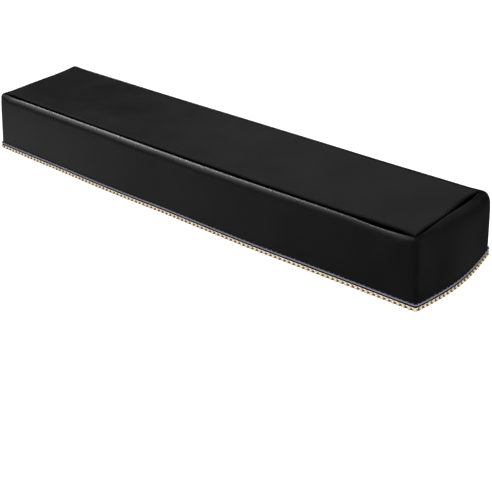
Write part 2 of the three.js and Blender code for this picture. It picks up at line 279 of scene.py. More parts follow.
LAMPS = (
    Lamp("overhead", (0, 0, 4.0), (0, 0, 0), 6.0, 6.0, 165, True, False),
    Lamp("fill", (3.2, -2.0, 0.6), (0, 0, -0.1), 3.0, 2.0, 34, True, False),
    Lamp("crest", (-2.9, -0.62, 3.55), (0, -0.14, 0), 0.6, 2.9, 300, False, True),
    Lamp("glow", (-2.1, -1.35, 1.3), (-0.2, -0.14, 0), 1.6, 0.9, 10, False, True),
    Lamp("top_sheen", (-0.8, 1.9, 1.1), (0.2, 0, 0), 2.0, 1.0, 1.4, False, True),
    Lamp("front_sheen", (-3.0, -1.71, -1.13), (-0.675, -0.136, -0.08), 2.0, 1.0, 4.4, False, True),
    Lamp("front_sheen_right", (-1.9, -3.0, -1.3), (0.3, -0.14, -0.08), 1.2, 0.8, 2.1, False, True),
    Lamp("corner_sheen", (2.13, -1.02, -1.13), (0.675, -0.136, -0.08), 0.7, 0.7, 1.2, False, True),
    Lamp("end_sheen", (1.68, 1.64, -1.17), (0.69, 0.05, -0.08), 1.0, 1.0, 0.5, False, True),
)

# The camera, found by fitting the cover's corners, seams and hem to the picture
CAMERA_PLACE = Vector((1.6211, -1.6906, 1.0420))
CAMERA_AZIMUTH = math.radians(42.192)
CAMERA_ELEVATION = math.radians(30.304)
CAMERA_ROLL = math.radians(-2.606)
SENSOR_WIDTH = 36.0
FOCAL_LENGTH = 74.57


def mix(low, high, share):
    return low + (high - low) * share


def smooth(share):
    held = np.clip(share, 0, 1)
    return held * held * (3 - 2 * held)


def bump(offset, reach):
    return np.exp(-((offset / reach) ** 2))


def arch(share):
    return np.sin(np.pi * share)


def lopsided_arch(share, peak_at):
    return smooth(np.where(share < peak_at, share / peak_at, (1 - share) / (1 - peak_at)))


def slack(down):
    return (1 - np.exp(-down / SLACK_RISE)) * np.maximum(1 - down, 0)


def edge_fall(distance, radius):
    """How far a cloth's rounded edge has turned in, at a distance from its seam."""
    left = np.clip(radius - distance, 0, radius)
    return radius - np.sqrt(radius**2 - left**2)


def ripple(x, y, wavelength):
    """A soft uneven ripple between about -1 and 1, the same each time."""
    total = 0
    for along, across, phase in RIPPLE_WAVES:
        total = total + np.sin(TAU * (along * x + across * y) / wavelength + phase)
    return total / len(RIPPLE_WAVES)


def seam_dip(index, share):
    """Depth of the top seam below the top face."""
    side = SIDES[index]
    inner = smooth(np.minimum(share, 1 - share) * side.along / DIP_REACH)
    dip = mix(CORNER_DIP, side.dip, inner)
    for pull in side.pulls:
        dip = dip + pull.extra * bump((share - pull.at) * side.along, pull.reach) * inner
    return dip


def hang(index, share, down):
    return mix(SIDES[index].sag, SIDES[index].droop, down) * arch(share)


def outline(index, share, down, out, ends):
    """The cover's rounded outline on one side, as seen from above."""
    side = SIDES[index]
    after = SIDES[(index + 1) % len(SIDES)]
    before = SIDES[index - 1]
    radius = mix(CORNER_RADIUS, HEM_CORNER_RADIUS, down)
    start_swell = side.corner_swell * slack(down)
    end_swell = after.corner_swell * slack(down)
    start = -side.along / 2 - before.flare * down - start_swell + ends
    end = side.along / 2 + after.flare * down + end_swell - ends
    start_reach = side.reach + side.flare * down + start_swell
    end_reach = side.reach + side.flare * down + end_swell
    arc = radius * CORNER_ARC
    straight = end - start - 2 * radius
    travel = share * (straight + 2 * arc)
    past = travel - arc - straight
    angle = np.where(travel < arc, travel / radius - CORNER_ARC, np.maximum(past, 0) / radius)
    along = np.clip(start + radius + travel - arc, start + radius, end - radius)
    reach = mix(start_reach, end_reach, (along - start) / (end - start)) - radius
    x = along + (radius + out) * np.sin(angle)
    y = -reach - (radius + out) * np.cos(angle)
    turn = index * HALF_TURN
    return x * math.cos(turn) - y * math.sin(turn), x * math.sin(turn) + y * math.cos(turn)


def stand(index, share, down):
    """Outward stand of a side's cloth from its plain outline."""
    side = SIDES[index]
    out = side.swell * lopsided_arch(share, side.swell_at) * slack(down)
    out = out + side.bow * arch(share) * np.maximum(down, 0) ** BOW_CURVE
    for fold in side.folds:
        across = bump((share - fold.at) * side.along, fold.wide)
        out = out + fold.stands * across * bump((down - fold.down) * CLOTH_DROP, fold.tall) * arch(share)
    return out


def fine_stand(index, share, down, shape):
    """The small creases and the unevenness of the cloth, which die away at the seams and the hem."""
    side = SIDES[index]
    out = 0
    for crease in side.creases:
        across = bump((share - crease.at) * side.along, crease.wide)
        out = out + crease.stands * across * bump((down - crease.down) * CLOTH_DROP, crease.tall)
    x = share * side.along + index
    y = down * CLOTH_DROP
    out = out + shape.unevenness * ripple(x, RIPPLE_DOWN * y, shape.ripple_length)
    held = smooth(down / FINE_FADE) * smooth((1 - down) / FINE_FADE)
    free_ends = smooth(np.minimum(share, 1 - share) * side.along / DIP_REACH)
    return out * held * mix(FINE_AT_CORNER, 1, free_ends)


def side_point(index, share, drop, inset, ends, shape=None):
    """Points of a side's outer face at a drop below the roll's crest."""
    crest = seam_dip(index, share) - ROLL_RISE
    down = drop / (CLOTH_DROP - crest)
    out = stand(index, share, down) - inset
    if shape is not None:
        out = out + fine_stand(index, share, down, shape)
        from_seam = np.minimum(share, 1 - share) * SIDES[index].along
        out = out - edge_fall(from_seam, shape.upright_edge) * mix(1, EDGE_AT_HEM, np.clip(down, 0, 1))
    x, y = outline(index, share, down, out, ends)
    z = SOLID_CLOTH - crest - drop - hang(index, share, np.minimum(down, 1))
    return np.stack(np.broadcast_arrays(x, y, z), axis=-1)


def wall_drop(index, share, place):
    """Drop below the crest at a place from 0, under the roll, to 1, at the hem."""
    full = CLOTH_DROP - seam_dip(index, share) + ROLL_RISE
    return mix(ROLL_RADIUS, full, place)


def seam_point(index, share, room):
    drop = ROLL_RADIUS * (1 - math.cos(SEAM_ANGLE))
    return side_point(index, share, drop, SEAM_INSET + room, 0)


def side_shares(index):
    """Shares of a side's length at which its cloth is divided."""
    side = SIDES[index]
    corner = CORNER_RADIUS * CORNER_ARC / side.along
    near = corner * (1 - np.cos(np.linspace(0, HALF_TURN, CORNER_COLUMNS, endpoint=False)))
    columns = round(side.along * (1 - 2 * corner) / GRID_PITCH)
    between = np.linspace(corner, 1 - corner, columns + 1)
    return np.concatenate([near, between, 1 - near[::-1]])


def edge_radius(index, share):
    """Radius of the cloth's tight edge beside the top seam: the corners have the solid's own roll."""
    side = SIDES[index]
    from_corner = np.minimum(share, 1 - share) * side.along
    return mix(ROLL_RADIUS, side.edge_radius, smooth(from_corner / DIP_REACH))


def shoulder_radius(edge):
    """Radius of the broad shoulder that takes the cloth from its tight edge to the wall."""
    seam_angle = -np.arccos(1 - ROLL_RISE / edge)
    rest = SEAM_INSET - edge * (math.sin(SHOULDER_START) - np.sin(seam_angle))
    return rest / (1 - math.sin(SHOULDER_START))


def over_edge(edge, angle):
    """Inset and drop of the cloth at an angle of turn over its edge, from the seam to the wall."""
    shoulder = shoulder_radius(edge)
    tight = np.minimum(angle, SHOULDER_START)
    broad = np.maximum(angle, SHOULDER_START)
    inset = shoulder * (1 - np.sin(broad)) + edge * (math.sin(SHOULDER_START) - np.sin(tight))
    drop = edge * (1 - np.cos(tight)) + shoulder * (math.cos(SHOULDER_START) - np.cos(broad))
    return inset, drop


def side_profile(index, share, shape):
    """Inset and drop of every row of a side panel, from the seam over the edge to the turned hem."""
    edge = edge_radius(index, share)
    seam_angle = -np.arccos(1 - ROLL_RISE / edge)
    rows = []
    for turned in np.linspace(0, HALF_TURN, EDGE_ROWS, endpoint=False):
        from_seam = shape.seam_edge * (1 - math.cos(turned)) + shape.seam_room
        angle = np.arcsin(np.sin(seam_angle) + from_seam / edge)
        inset, drop = over_edge(edge, angle)
        rows.append((inset, drop + edge_fall(from_seam, shape.seam_edge)))
    first = np.arcsin(np.sin(seam_angle) + (shape.seam_edge + shape.seam_room) / edge)
    for place in np.linspace(0, 1, EDGE_TURN_ROWS, endpoint=False):
        rows.append(over_edge(edge, mix(first, SHOULDER_START, place)))
    for place in np.linspace(0, 1, SHOULDER_ROWS, endpoint=False):
        rows.append(over_edge(edge, mix(SHOULDER_START, HALF_TURN, place)))
    below = over_edge(edge, HALF_TURN)[1]
    fold = shape.cloth + shape.hem_room / 2
    turn = wall_drop(index, share, HEM_PLACE) - fold
    for place in np.linspace(0, 1, WALL_ROWS, endpoint=False):
        rows.append((0, mix(below, turn, place)))
    for turned in np.linspace(0, math.pi, HEM_ROWS, endpoint=False):
        rows.append((fold * (1 - math.cos(turned)), turn + fold * math.sin(turned)))
    for step in range(TURN_ROWS):
        rows.append((2 * fold, turn - shape.turn_up * step / (TURN_ROWS - 1)))
    insets = np.stack([np.broadcast_to(inset, share.shape) for inset, drop in rows])
    drops = np.stack([np.broadcast_to(drop, share.shape) for inset, drop in rows])
    return insets, drops


def side_grid(index, shape):
    share = side_shares(index)
    insets, drops = side_profile(index, share, shape)
    return side_point(index, share, drops, insets, shape.seam_room / math.sqrt(2), shape)


def from_seams(a, b):
    """Each side's number, with the shares along it and the distances from its seam of places on the top."""
    return (
        (FRONT, a, (1 - b) * DEPTH),
        (RIGHT, 1 - b, (1 - a) * LENGTH),
        (BACK, 1 - a, b * DEPTH),
        (LEFT, b, a * LENGTH),
    )


def top_height(x, y, a, b, shape):
    """Height of the top face: it slopes down to each seam and sags a little towards the long edges."""
    slope = np.zeros_like(x)
    sag = np.zeros_like(x)
    fall = np.zeros_like(x)
    nearest = np.full_like(x, DEPTH)
    for index, share, distance in from_seams(a, b):
        in_margin = np.maximum(1 - distance / MARGIN, 0)
        slope = np.maximum(slope, seam_dip(index, share) * in_margin**MARGIN_CURVE)
        sag = np.maximum(sag, hang(index, share, 0) * smooth(1 - distance / SAG_DEPTH))
        fall = np.maximum(fall, edge_fall(distance, shape.seam_edge))
        nearest = np.minimum(nearest, distance)
    beyond_x = np.maximum(np.abs(x) - FLAT_HALF_LENGTH, 0) / FLAT_FADE
    beyond_y = np.maximum(np.abs(y) - FLAT_HALF_DEPTH, 0) / FLAT_FADE
    loose = smooth(np.hypot(beyond_x, beyond_y)) * smooth(nearest / TAUT_EDGE)
    swell = shape.unevenness * ripple(x, y, shape.ripple_length)
    for row in TOP_SWELLS:
        swell = swell + row.rise * bump(x - row.x, row.wide) * bump(y - row.y, row.deep)
    return SOLID_CLOTH - slope - sag - fall + swell * loose


def margin_places(length, shape):
    """Places from 0 to 1 across a length: close together at the edges, even between them."""
    edge = shape.seam_edge * (1 - np.cos(np.linspace(0, HALF_TURN, EDGE_ROWS, endpoint=False)))
    margin = np.linspace(shape.seam_edge, MARGIN, MARGIN_ROWS, endpoint=False)
    near = np.concatenate([edge, margin]) / length
    columns = round((length - 2 * MARGIN) / GRID_PITCH)
    between = np.linspace(MARGIN / length, 1 - MARGIN / length, columns + 1)
    return np.concatenate([near, between, 1 - near[::-1]])


def top_places(shape):
    """Two grids of places on the top: a runs to the right, b to the front."""
    return np.meshgrid(margin_places(LENGTH, shape), margin_places(DEPTH, shape))


def top_grid(a, b, shape):
    """The top face, stretched between the four seam lines."""

    def seam(index, share):
        return seam_point(index, share, shape.seam_room)[..., :2]

    right, front = a[..., None], b[..., None]
    points = seam(FRONT, a) * front + seam(BACK, 1 - a) * (1 - front)
    points = points + seam(LEFT, b) * (1 - right) + seam(RIGHT, 1 - b) * right
    corners = (
        (FRONT, 0.0, (1 - right) * front), (FRONT, 1.0, right * front),
        (BACK, 0.0, right * (1 - front)), (BACK, 1.0, (1 - right) * (1 - front)),
    )
    for index, share, weight in corners:
        points = points - seam(index, np.array(share)) * weight
    x, y = points[..., 0], points[..., 1]
    return np.stack([x, y, top_height(x, y, a, b, shape)], axis=-1)


def margin_shade(a, b):
    """Painted shade on the top near its seams, from 0 to 1; it reaches further where the seam dips."""
    shade = np.zeros_like(a)
    for index, share, distance in from_seams(a, b):
        deep = np.clip((seam_dip(index, share) - CORNER_DIP) / DEEP_DIP, 0, 1)
        reach = mix(SHADE_REACH, DEEP_REACH, deep)
        shade = np.maximum(shade, smooth(SHADE_SLOPE * (1 - distance / reach)))
    return shade


def side_shade(index, grid, shape):
    """How near a side's cloth is to its seams, from 0 to 1, as painted shade, with more on the roll at its
    corners.
    """
    share = side_shares(index)[None, :]
    below = lengths_along(grid, 0)[:, None]
    upright = np.minimum(share, 1 - share) * SIDES[index].along
    near = np.maximum(1 - below / shape.seam_edge, 1 - upright / shape.seam_edge)
    rolled = np.clip(2 - below / ROLL_RADIUS, 0, 1)
    return np.maximum(np.clip(near, 0, 1), CORNER_PAINTED_SHADE * rolled * smooth(1 - upright / CORNER_SHADE_REACH))


def lengths_along(grid, axis):
    """Distance travelled along a grid's rows or columns, averaged over the other way."""
    steps = np.linalg.norm(np.diff(grid, axis=axis), axis=-1).mean(axis=1 - axis)
    return np.concatenate([[0], np.cumsum(steps)])


def travelled(line):
    """Distance travelled along a line of points, at each of them."""
    return np.concatenate([[0], np.cumsum(np.linalg.norm(np.diff(line, axis=0), axis=1))])


def keep_values(mesh, name, kind, key, values):
    """Keeps a value on each point of a mesh under a name."""
    mesh.attributes.new(name, kind, "POINT").data.foreach_set(key, values.astype(np.float32).ravel())


def smooth_faces(mesh):
    mesh.polygons.foreach_set("use_smooth", np.ones(len(mesh.polygons), bool))


def mesh_with_uv(name, points, faces, along, down):
    """A smooth mesh with its sharp edges kept. Its UV map gives places on the cloth in metres."""
    mesh = bpy.data.meshes.new(name)
    mesh.from_pydata(points.tolist(), [], faces)
    corners = np.array([corner for face in faces for corner in face])
    uv = np.stack(np.broadcast_arrays(along, down), -1).reshape(-1, 2)[corners]
    mesh.uv_layers.new(name="UVMap").data.foreach_set("uv", uv.astype(np.float32).ravel())
    smooth_faces(mesh)
    mesh.set_sharp_from_angle(angle=SHARP_FROM)
    return mesh


def shell_mesh(name, outer, thickness, shade):
    """A closed sheet whose outer face is the grid, with its inner face a thickness below it.

    shade is the painted shade at each point near a seam, from 0 to 1.
    """
    normal = np.cross(np.gradient(outer, axis=0), np.gradient(outer, axis=1))
    normal = normal / np.linalg.norm(normal, axis=-1, keepdims=True)
    both = np.stack([outer, outer - normal * thickness])
    rows, columns = outer.shape[:2]
    count = rows * columns
    index = np.arange(count).reshape(rows, columns)
    a, b, c, d = index[:-1, :-1], index[1:, :-1], index[1:, 1:], index[:-1, 1:]
    faces = [np.stack([a, b, c, d], -1).reshape(-1, 4), np.stack([d, c, b, a], -1).reshape(-1, 4) + count]
    loop = np.concatenate([index[:-1, 0], index[-1, :-1], index[:0:-1, -1], index[0, :0:-1]])
    after = np.roll(loop, -1)
    faces.append(np.stack([after, loop, loop + count, after + count], -1))
    along = np.broadcast_to(lengths_along(outer, 1), both.shape[:3])
    down = -lengths_along(outer, 0)[:, None]
    mesh = mesh_with_uv(name, both.reshape(-1, 3), np.concatenate(faces).tolist(), along, down)
    keep_values(mesh, "painted_seam_shade", "FLOAT", "value", np.stack([shade, shade]))
    return mesh


def add_piece(mesh, material, slot, *nodes):
    """Puts a finished mesh in the scene, on the frame, in place of its solids."""
    piece = bpy.data.objects.new(mesh.name, mesh)
    bpy.context.scene.collection.objects.link(piece)
    mesh.materials.clear()
    mesh.materials.append(material)
    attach(piece, "root")
    if nodes:
        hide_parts(*nodes)
    return piece


def check_place(piece, node):
    """Raises an error if a piece isn't where its solid is."""
    low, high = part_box(node)
    points = np.array([vertex.co for vertex in piece.data.vertices])
    worst = max(np.abs(points.min(0) - np.array(low)).max(), np.abs(points.max(0) - np.array(high)).max())
    if worst > PLACE_TOLERANCE:
        raise RuntimeError(f"{piece.name} is {worst * 1000:.1f} mm off its solid")


# Materials


# Repeats of their patterns in a metre, then sizes of their relief and ribs, then shares
CLOTH_MOTTLE = 9.0
CLOTH_FIBRE = 900.0
BAND_MOTTLE = 60.0
YARN_MOTTLE = 120.0
YARN_TURNS = 900.0
YARN_PLIES = 3.0
THREAD_FLECKS = 700.0
FLOOR_MOTTLE = 1.5
KNIT_RELIEF = 0.00008
FIBRE_RELIEF = 0.00006
YARN_RELIEF = 0.0002
BAND_RELIEF = 0.0002
BAND_RIB_PITCH = 0.0012
ROW_SHARE = 0.8  # distance between the knit's rows, as a share of that between its ribs
WAVE_LENGTH = TAU / 20  # length of one rib of an unscaled wave pattern
ROUGHNESS_RANGE = 0.015
NOISE_MIDDLE = (0.3, 0.7)  # a soft noise seldom goes beyond these
SEAM_DARKEST = 0.06  # share of the cloth's colour that the painted shade leaves in a seam
SEAM_ROUGHER = 0.3
THREAD_COLOUR = (0.012, 0.012, 0.013)


def new_material(name):
    material = bpy.data.materials.new(name)
    material.use_nodes = True
    return material, material.node_tree, material.node_tree.nodes["Principled BSDF"]


def set_inputs(tree, node, inputs):
    """Gives a node its inputs, as values or as sockets to link from."""
    for name, value in inputs.items():
        if isinstance(value, bpy.types.NodeSocket):
            tree.links.new(value, node.inputs[name])
        else:
            node.inputs[name].default_value = value


def add_node(tree, kind, settings=None, inputs=None):
    """Adds a node, with its settings and its inputs."""
    node = tree.nodes.new(kind)
    for name, value in (settings or {}).items():
        setattr(node, name, value)
    set_inputs(tree, node, inputs or {})
    return node


def noise(tree, vector, scale, detail=2.0, roughness=0.5):
    settings = {"noise_dimensions": "3D"}
    inputs = {"Vector": vector, "Scale": scale, "Detail": detail, "Roughness": roughness}
    return add_node(tree, "ShaderNodeTexNoise", settings, inputs).outputs["Fac"]


def spread(tree, value, low, high, start=0.0, end=1.0):
    """Maps a value from start..end to low..high."""
    inputs = {"Value": value, "From Min": start, "From Max": end, "To Min": low, "To Max": high}
    return add_node(tree, "ShaderNodeMapRange", {}, inputs).outputs["Result"]


def varied(tree, pattern, by, start=0.0, end=1.0):
    """A share about 1 that a pattern makes more or less by a part."""
    return spread(tree, pattern, 1 - by, 1 + by, start, end)


def maths(tree, operation, first, second=0.0):
    return add_node(tree, "ShaderNodeMath", {"operation": operation}, {0: first, 1: second}).outputs[0]


def times(tree, first, second):
    return maths(tree, "MULTIPLY", first, second)


def humps(tree, value):
    """Rises from 0 to 1 and falls back over every whole step of a value."""
    return maths(tree, "ABSOLUTE", maths(tree, "SINE", times(tree, value, math.pi)))


def turn_round(tree, parts):
    """The share of a turn that a point lies round its strand."""
    return maths(tree, "DIVIDE", maths(tree, "ARCTAN2", parts.outputs["Y"], parts.outputs["X"]), TAU)


def split(tree, vector):
    return add_node(tree, "ShaderNodeSeparateXYZ", {}, {"Vector": vector})


def combined(tree, x=0.0, y=0.0, z=0.0):
    return add_node(tree, "ShaderNodeCombineXYZ", {}, {"X": x, "Y": y, "Z": z}).outputs[0]


def blend_colours(tree, share, first, second):
    inputs = {"Factor": share, 6: first, 7: second}
    return add_node(tree, "ShaderNodeMix", {"data_type": "RGBA"}, inputs).outputs[2]


def scaled(tree, vector, share):
    """A colour made darker or lighter, or a way made longer or shorter, by a share."""
    inputs = {0: vector, "Scale": share}
    return add_node(tree, "ShaderNodeVectorMath", {"operation": "SCALE"}, inputs).outputs["Vector"]


def raised(tree, height, distance, strength=1.0, normal=None):
    inputs = {"Height": height, "Distance": distance, "Strength": strength}
    if normal is not None:
        inputs["Normal"] = normal
    return add_node(tree, "ShaderNodeBump", {}, inputs).outputs["Normal"]


def opaque(colour):
    return (*colour, 1.0)


def on_cloth(tree):
    """Places on a sheet or a band in metres, along it and down it."""
    return add_node(tree, "ShaderNodeUVMap", {"uv_map": "UVMap"}).outputs["UV"]


def on_object(tree):
    return add_node(tree, "ShaderNodeTexCoord").outputs["Object"]


def kept(tree, name, output="Fac"):
    """A value that is kept on each point of a mesh."""
    return add_node(tree, "ShaderNodeAttribute", {"attribute_name": name}).outputs[output]


def ribs(tree, place, pitch, direction, uneven):
    """Even ribs, a pitch apart across a direction."""
    inputs = {"Vector": place, "Scale": WAVE_LENGTH / pitch, "Distortion": uneven, "Detail": 1.0}
    return add_node(tree, "ShaderNodeTexWave", {"bands_direction": direction}, inputs).outputs["Fac"]


def black_cloth_material(finish):
    """Fine black stretch cloth, a low ribbed knit with a soft lustre; painted shade darkens and dulls its
    seams.
    """
    material, tree, surface = new_material("black_stretch_cloth")
    place = on_cloth(tree)
    painted_seam_shade = kept(tree, "painted_seam_shade")
    mottle = noise(tree, place, CLOTH_MOTTLE, detail=3.0, roughness=0.55)
    fibre = noise(tree, place, CLOTH_FIBRE, roughness=0.6)
    tint = times(tree, varied(tree, mottle, 0.18, *NOISE_MIDDLE), varied(tree, fibre, 0.2))
    # Painted shade: the cloth's colour darkens towards its seams
    tint = times(tree, tint, spread(tree, painted_seam_shade, 1.0, SEAM_DARKEST))
    columns = ribs(tree, place, finish.rib_pitch, "X", uneven=0.4)
    rows = ribs(tree, place, ROW_SHARE * finish.rib_pitch, "Y", uneven=0.6)
    fibres = raised(tree, fibre, FIBRE_RELIEF, strength=0.4)
    low, high = finish.cloth_roughness - ROUGHNESS_RANGE, finish.cloth_roughness + ROUGHNESS_RANGE
    rough = spread(tree, mottle, low, high, *NOISE_MIDDLE)
    surface.inputs["Specular IOR Level"].default_value = finish.cloth_gloss
    set_inputs(tree, surface, {
        "Base Color": scaled(tree, finish.cloth_colour, tint),
        "Roughness": maths(tree, "ADD", rough, spread(tree, painted_seam_shade, 0.0, SEAM_ROUGHER)),
        "Normal": raised(tree, times(tree, columns, rows), KNIT_RELIEF, strength=0.5, normal=fibres),
        # Painted shade: the cloth's reflections fade out towards its seams
        "Specular IOR Level": spread(tree, painted_seam_shade, finish.cloth_gloss, 0.0),
        "Sheen Weight": finish.cloth_sheen,
        "Sheen Roughness": 0.4,
    })
    return material


def band_material(finish):
    """Matt black ribbed band."""
    material, tree, surface = new_material("black_ribbed_band")
    place = on_cloth(tree)
    rib = ribs(tree, place, BAND_RIB_PITCH, "X", uneven=0.2)
    # Painted shade: the band darkens in the troughs between its ribs
    tint = times(tree, spread(tree, rib, 0.5, 1.1), varied(tree, noise(tree, place, BAND_MOTTLE), 0.2))
    set_inputs(tree, surface, {
        "Base Color": scaled(tree, finish.band_colour, tint),
        "Roughness": spread(tree, rib, 0.95, 0.8),
        "Normal": raised(tree, rib, BAND_RELIEF, strength=0.7),
        "Specular IOR Level": 0.15,
    })
    return material


def yarn_material(name, light, dark, metallic, roughness):
    """Metallic yarn wound round a strand in fine slanting turns; painted shade between turns and in the
    strand's dips.
    """
    material, tree, surface = new_material(name)
    parts = split(tree, kept(tree, "strand", "Vector"))
    along = times(tree, parts.outputs["Z"], YARN_TURNS)
    thread = humps(tree, maths(tree, "ADD", times(tree, turn_round(tree, parts), YARN_PLIES), along))
    mottle = noise(tree, on_object(tree), YARN_MOTTLE)
    # Painted shade: the yarn takes its shadow colour where the strand is marked hollow
    painted_shade_share = spread(tree, kept(tree, "hollow"), 0.0, 1.0, start=0.04, end=0.45)
    colour = blend_colours(tree, painted_shade_share, opaque(light), opaque(dark))
    # Painted shade: the yarn darkens in the grooves between its turns
    tint = times(tree, spread(tree, thread, 0.6, 1.05), spread(tree, mottle, 0.85, 1.12, *NOISE_MIDDLE))
    set_inputs(tree, surface, {
        "Base Color": scaled(tree, colour, tint),
        "Roughness": spread(tree, thread, roughness + 0.15, roughness),
        "Normal": raised(tree, thread, YARN_RELIEF, strength=0.6),
        "Metallic": metallic,
        "Specular IOR Level": 0.1,
    })
    return material


def thread_material():
    """Plain black sewing thread."""
    material, tree, surface = new_material("black_thread")
    tint = varied(tree, noise(tree, on_object(tree), THREAD_FLECKS), 0.3)
    set_inputs(tree, surface, {
        "Base Color": scaled(tree, THREAD_COLOUR, tint), "Roughness": 0.5, "Specular IOR Level": 0.3,
    })
    return material


def floor_material(colour):
    material, tree, surface = new_material("pale_floor")
    tint = varied(tree, noise(tree, on_object(tree), FLOOR_MOTTLE), 0.01)
    set_inputs(tree, surface, {
        "Base Color": scaled(tree, colour, tint), "Roughness": 0.9, "Specular IOR Level": 0.1,
    })
    return material


# Geometry node trees


def new_tree(name, whole, real):
    """A geometry node tree with named inputs, whole and real numbers, and the sockets that give them."""
    tree = bpy.data.node_groups.new(name, "GeometryNodeTree")
    tree.interface.new_socket("Geometry", in_out="INPUT", socket_type="NodeSocketGeometry")
    for labels, kind in ((whole, "NodeSocketInt"), (real, "NodeSocketFloat")):
        for label in labels:
            tree.interface.new_socket(label, in_out="INPUT", socket_type=kind)
    tree.interface.new_socket("Material", in_out="INPUT", socket_type="NodeSocketMaterial")
    tree.interface.new_socket("Geometry", in_out="OUTPUT", socket_type="NodeSocketGeometry")
    return tree, tree.nodes.new("NodeGroupInput").outputs


def end_tree(tree, given, geometry):
    """Ends a tree in Realize Instances, smooth shading and Set Material."""
    real = add_node(tree, "GeometryNodeRealizeInstances", {}, {0: geometry}).outputs[0]
    smooth_shaded = add_node(tree, "GeometryNodeSetShadeSmooth", {}, {"Geometry": real}).outputs[0]
    inputs = {"Geometry": smooth_shaded, "Material": given["Material"]}
    finished = add_node(tree, "GeometryNodeSetMaterial", {}, inputs).outputs[0]
    tree.links.new(finished, tree.nodes.new("NodeGroupOutput").inputs[0])


def grown_mesh(name, line, tree, material, values):
    """Runs a node tree on a closed line of points, and gives the result as a plain mesh."""
    count = len(line)
    edges = [(here, (here + 1) % count) for here in range(count)]
    base = bpy.data.meshes.new(f"{name}_line")
    base.from_pydata(line.tolist(), edges, [])
    holder = bpy.data.objects.new(f"{name}_line", base)
    bpy.context.scene.collection.objects.link(holder)
    modifier = holder.modifiers.new("Grow", "NODES")
    modifier.node_group = tree
    named = {item.name: item.identifier for item in tree.interface.items_tree if item.in_out == "INPUT"}
    for label, value in {**values, "Material": material}.items():
        modifier[named[label]] = value
    bpy.context.view_layer.update()
    evaluated = holder.evaluated_get(bpy.context.evaluated_depsgraph_get())
    mesh = bpy.data.meshes.new_from_object(evaluated)
    mesh.name = name
    holder.modifiers.remove(modifier)
    bpy.data.objects.remove(holder)
    bpy.data.meshes.remove(base)
    return mesh


def store(tree, geometry, name, value, kind="FLOAT"):
    """Keeps a value on each point of a geometry under a name."""
    settings = {"data_type": kind, "domain": "POINT"}
    inputs = {"Geometry": geometry, "Name": name, "Value": value}
    return add_node(tree, "GeometryNodeStoreNamedAttribute", settings, inputs).outputs[0]


def stored(tree, name, kind="FLOAT"):
    return add_node(tree, "GeometryNodeInputNamedAttribute", {"data_type": kind}, {"Name": name}).outputs[0]


def as_curve(tree, line):
    return add_node(tree, "GeometryNodeMeshToCurve", {}, {"Mesh": line}).outputs[0]


def even_curve(tree, line, count):
    """A line as a curve of even steps, with its normals level."""
    inputs = {"Curve": as_curve(tree, line), "Count": count}
    curve = add_node(tree, "GeometryNodeResampleCurve", {}, inputs).outputs[0]
    return add_node(tree, "GeometryNodeSetCurveNormal", {"mode": "Z_UP"}, {"Curve": curve}).outputs[0]


def moved(tree, geometry, offset):
    return add_node(tree, "GeometryNodeSetPosition", {}, {"Geometry": geometry, "Offset": offset}).outputs[0]


def normal_way(tree):
    return add_node(tree, "GeometryNodeInputNormal").outputs["Normal"]


def point_place(tree):
    return add_node(tree, "GeometryNodeInputPosition").outputs[0]


def tube_along(tree, curve, sides, radius, scale=1.0):
    """A round tube along a curve. Each point keeps where it lies round the tube and along it."""
    inputs = {"Resolution": sides, "Radius": radius}
    ring = add_node(tree, "GeometryNodeCurvePrimitiveCircle", {"mode": "RADIUS"}, inputs).outputs[0]
    ring = store(tree, ring, "round", point_place(tree), "FLOAT_VECTOR")
    inputs = {"Curve": curve, "Profile Curve": ring, "Scale": scale}
    tube = add_node(tree, "GeometryNodeCurveToMesh", {}, inputs).outputs[0]
    parts = split(tree, stored(tree, "round", "FLOAT_VECTOR"))
    strand = combined(tree, parts.outputs["X"], parts.outputs["Y"], stored(tree, "along"))
    return store(tree, tube, "strand", strand, "FLOAT_VECTOR"), parts


def strand_tree():
    """One strand of a flat plait along a closed line: it swings up and down once in each of its turns."""
    tree, given = new_tree(
        "plait_strand", whole=("Steps", "Turns", "Sides"),
        real=("Phase", "Crossings", "Strand Radius", "Out Reach", "Up Reach", "Line Length"),
    )
    curve = even_curve(tree, given["Geometry"], given["Steps"])
    factor = add_node(tree, "GeometryNodeSplineParameter").outputs["Factor"]
    angle = maths(tree, "ADD", times(tree, times(tree, factor, given["Turns"]), TAU), given["Phase"])
    out_share = maths(tree, "COSINE", times(tree, angle, given["Crossings"]))
    out = scaled(tree, normal_way(tree), times(tree, out_share, given["Out Reach"]))
    up = combined(tree, z=times(tree, maths(tree, "SINE", angle), given["Up Reach"]))
    offset = add_node(tree, "ShaderNodeVectorMath", {"operation": "ADD"}, {0: out, 1: up}).outputs[0]
    curve = store(tree, curve, "along", times(tree, factor, given["Line Length"]))
    # Painted shade: a strand is marked hollow where it passes in behind the others
    curve = store(tree, curve, "hollow", spread(tree, out_share, 1.0, 0.0, start=-1.0, end=0.3))
    curve = moved(tree, curve, offset)
    tube, parts = tube_along(tree, curve, given["Sides"], given["Strand Radius"])
    end_tree(tree, given, tube)
    return tree


